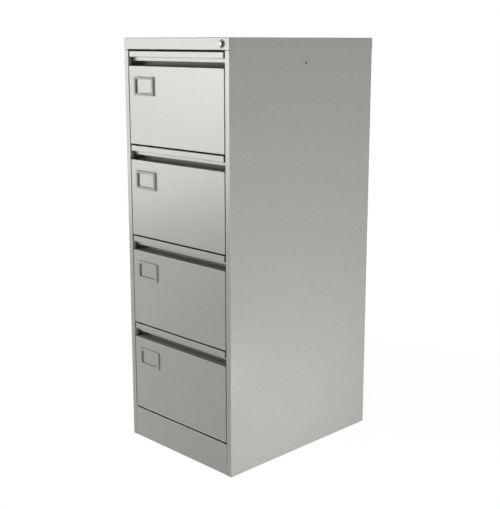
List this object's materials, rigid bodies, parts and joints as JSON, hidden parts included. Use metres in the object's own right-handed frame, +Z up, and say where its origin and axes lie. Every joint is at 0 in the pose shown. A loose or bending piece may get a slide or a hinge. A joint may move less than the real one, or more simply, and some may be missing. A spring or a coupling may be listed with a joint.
{
  "type": "metal filing cabinet",
  "caption": "Tall folded-steel filing cabinet with full-width recessed finger pulls, empty label frames, full-extension ball runners and a push lock that works a lock bar.",
  "frame": {"origin": "centre of the whole footprint on the floor, under the glides", "axes": "+Z up, +X to the right seen from the front, -Y out of the drawer fronts"},
  "size_m": [0.475, 0.637, 1.3],
  "materials": {
    "powder_coat": "warm light grey satin powder coat with a fine orange-peel texture",
    "zinc_plate": "bright zinc-plated cold-rolled steel",
    "chrome": "nickel-chromed zinc die casting, polished",
    "label_plastic": "matt moulded plastic in the cabinet's grey",
    "nylon": "natural off-white nylon",
    "rubber": "black rubber"
  },
  "bodies": {
    "carcass": {"side_right": "powder_coat", "side_left": "powder_coat", "back_panel": "powder_coat", "top_cap": "powder_coat", "plinth_panel": "powder_coat", "base_pan": "zinc_plate", "levelling_glides": "nylon", "cap_screws": "zinc_plate", "runner_uprights": "zinc_plate", "tie_rails": "zinc_plate", "lock_housing": "chrome", "lock_clip": "zinc_plate", "lock_bar_guides": "zinc_plate", "cabinet_runners": "zinc_plate", "runner_buffers": "rubber"},
    "lock_plunger": {"lock_plunger": "chrome"},
    "lock_key_plug": {"lock_key_plug": "chrome"},
    "lock_bar": {"lock_bar": "zinc_plate"},
    "drawer_1": {"drawer_1_front": "powder_coat", "drawer_1_pull": "powder_coat", "drawer_1_tray": "powder_coat", "drawer_1_back": "powder_coat", "drawer_1_file_rails": "zinc_plate", "drawer_1_label_frame": "label_plastic", "drawer_1_runners": "zinc_plate"},
    "slides_1": {"drawer_1_slides": "zinc_plate"},
    "outer_cages_1": {"drawer_1_outer_cages": "nylon"},
    "inner_cages_1": {"drawer_1_inner_cages": "nylon"},
    "drawer_2": {"drawer_2_front": "powder_coat", "drawer_2_pull": "powder_coat", "drawer_2_tray": "powder_coat", "drawer_2_back": "powder_coat", "drawer_2_file_rails": "zinc_plate", "drawer_2_label_frame": "label_plastic", "drawer_2_runners": "zinc_plate"},
    "slides_2": {"drawer_2_slides": "zinc_plate"},
    "outer_cages_2": {"drawer_2_outer_cages": "nylon"},
    "inner_cages_2": {"drawer_2_inner_cages": "nylon"},
    "drawer_3": {"drawer_3_front": "powder_coat", "drawer_3_pull": "powder_coat", "drawer_3_tray": "powder_coat", "drawer_3_back": "powder_coat", "drawer_3_file_rails": "zinc_plate", "drawer_3_label_frame": "label_plastic", "drawer_3_runners": "zinc_plate"},
    "slides_3": {"drawer_3_slides": "zinc_plate"},
    "outer_cages_3": {"drawer_3_outer_cages": "nylon"},
    "inner_cages_3": {"drawer_3_inner_cages": "nylon"},
    "drawer_4": {"drawer_4_front": "powder_coat", "drawer_4_pull": "powder_coat", "drawer_4_tray": "powder_coat", "drawer_4_back": "powder_coat", "drawer_4_file_rails": "zinc_plate", "drawer_4_label_frame": "label_plastic", "drawer_4_runners": "zinc_plate"},
    "slides_4": {"drawer_4_slides": "zinc_plate"},
    "outer_cages_4": {"drawer_4_outer_cages": "nylon"},
    "inner_cages_4": {"drawer_4_inner_cages": "nylon"}
  },
  "joints": [
    {"name": "drawer_1_slide", "type": "slide", "parent": "carcass", "child": "drawer_1", "axis": [0, -1, 0], "range_m": [0, 0.54]},
    {"name": "slides_1_travel", "type": "slide", "parent": "carcass", "child": "slides_1", "axis": [0, -1, 0], "range_m": [0, 0.27]},
    {"name": "outer_cages_1_travel", "type": "slide", "parent": "carcass", "child": "outer_cages_1", "axis": [0, -1, 0], "range_m": [0, 0.135]},
    {"name": "inner_cages_1_travel", "type": "slide", "parent": "carcass", "child": "inner_cages_1", "axis": [0, -1, 0], "range_m": [0, 0.405]},
    {"name": "drawer_2_slide", "type": "slide", "parent": "carcass", "child": "drawer_2", "axis": [0, -1, 0], "range_m": [0, 0.54]},
    {"name": "slides_2_travel", "type": "slide", "parent": "carcass", "child": "slides_2", "axis": [0, -1, 0], "range_m": [0, 0.27]},
    {"name": "outer_cages_2_travel", "type": "slide", "parent": "carcass", "child": "outer_cages_2", "axis": [0, -1, 0], "range_m": [0, 0.135]},
    {"name": "inner_cages_2_travel", "type": "slide", "parent": "carcass", "child": "inner_cages_2", "axis": [0, -1, 0], "range_m": [0, 0.405]},
    {"name": "drawer_3_slide", "type": "slide", "parent": "carcass", "child": "drawer_3", "axis": [0, -1, 0], "range_m": [0, 0.54]},
    {"name": "slides_3_travel", "type": "slide", "parent": "carcass", "child": "slides_3", "axis": [0, -1, 0], "range_m": [0, 0.27]},
    {"name": "outer_cages_3_travel", "type": "slide", "parent": "carcass", "child": "outer_cages_3", "axis": [0, -1, 0], "range_m": [0, 0.135]},
    {"name": "inner_cages_3_travel", "type": "slide", "parent": "carcass", "child": "inner_cages_3", "axis": [0, -1, 0], "range_m": [0, 0.405]},
    {"name": "drawer_4_slide", "type": "slide", "parent": "carcass", "child": "drawer_4", "axis": [0, -1, 0], "range_m": [0, 0.54]},
    {"name": "slides_4_travel", "type": "slide", "parent": "carcass", "child": "slides_4", "axis": [0, -1, 0], "range_m": [0, 0.27]},
    {"name": "outer_cages_4_travel", "type": "slide", "parent": "carcass", "child": "outer_cages_4", "axis": [0, -1, 0], "range_m": [0, 0.135]},
    {"name": "inner_cages_4_travel", "type": "slide", "parent": "carcass", "child": "inner_cages_4", "axis": [0, -1, 0], "range_m": [0, 0.405]},
    {"name": "lock_push", "type": "slide", "parent": "carcass", "child": "lock_plunger", "axis": [0, 1, 0], "range_m": [0, 0.005], "stiffness_N_per_m": 150, "springref_m": -0.01},
    {"name": "key_turn", "type": "hinge", "parent": "lock_plunger", "child": "lock_key_plug", "pos_m": [0.2055, -0.3115, 1.2825], "axis": [0, 1, 0], "range_deg": [0, 90]},
    {"name": "lock_bar_lift", "type": "slide", "parent": "carcass", "child": "lock_bar", "axis": [0, 0, 1], "range_m": [0, 0.005]}
  ],
  "couplings": [
    {"joint": "slides_1_travel", "follows": "drawer_1_slide", "ratio": 0.5},
    {"joint": "outer_cages_1_travel", "follows": "drawer_1_slide", "ratio": 0.25},
    {"joint": "inner_cages_1_travel", "follows": "drawer_1_slide", "ratio": 0.75},
    {"joint": "slides_2_travel", "follows": "drawer_2_slide", "ratio": 0.5},
    {"joint": "outer_cages_2_travel", "follows": "drawer_2_slide", "ratio": 0.25},
    {"joint": "inner_cages_2_travel", "follows": "drawer_2_slide", "ratio": 0.75},
    {"joint": "slides_3_travel", "follows": "drawer_3_slide", "ratio": 0.5},
    {"joint": "outer_cages_3_travel", "follows": "drawer_3_slide", "ratio": 0.25},
    {"joint": "inner_cages_3_travel", "follows": "drawer_3_slide", "ratio": 0.75},
    {"joint": "slides_4_travel", "follows": "drawer_4_slide", "ratio": 0.5},
    {"joint": "outer_cages_4_travel", "follows": "drawer_4_slide", "ratio": 0.25},
    {"joint": "inner_cages_4_travel", "follows": "drawer_4_slide", "ratio": 0.75},
    {"joint": "lock_bar_lift", "follows": "lock_push", "ratio": 1}
  ]
}
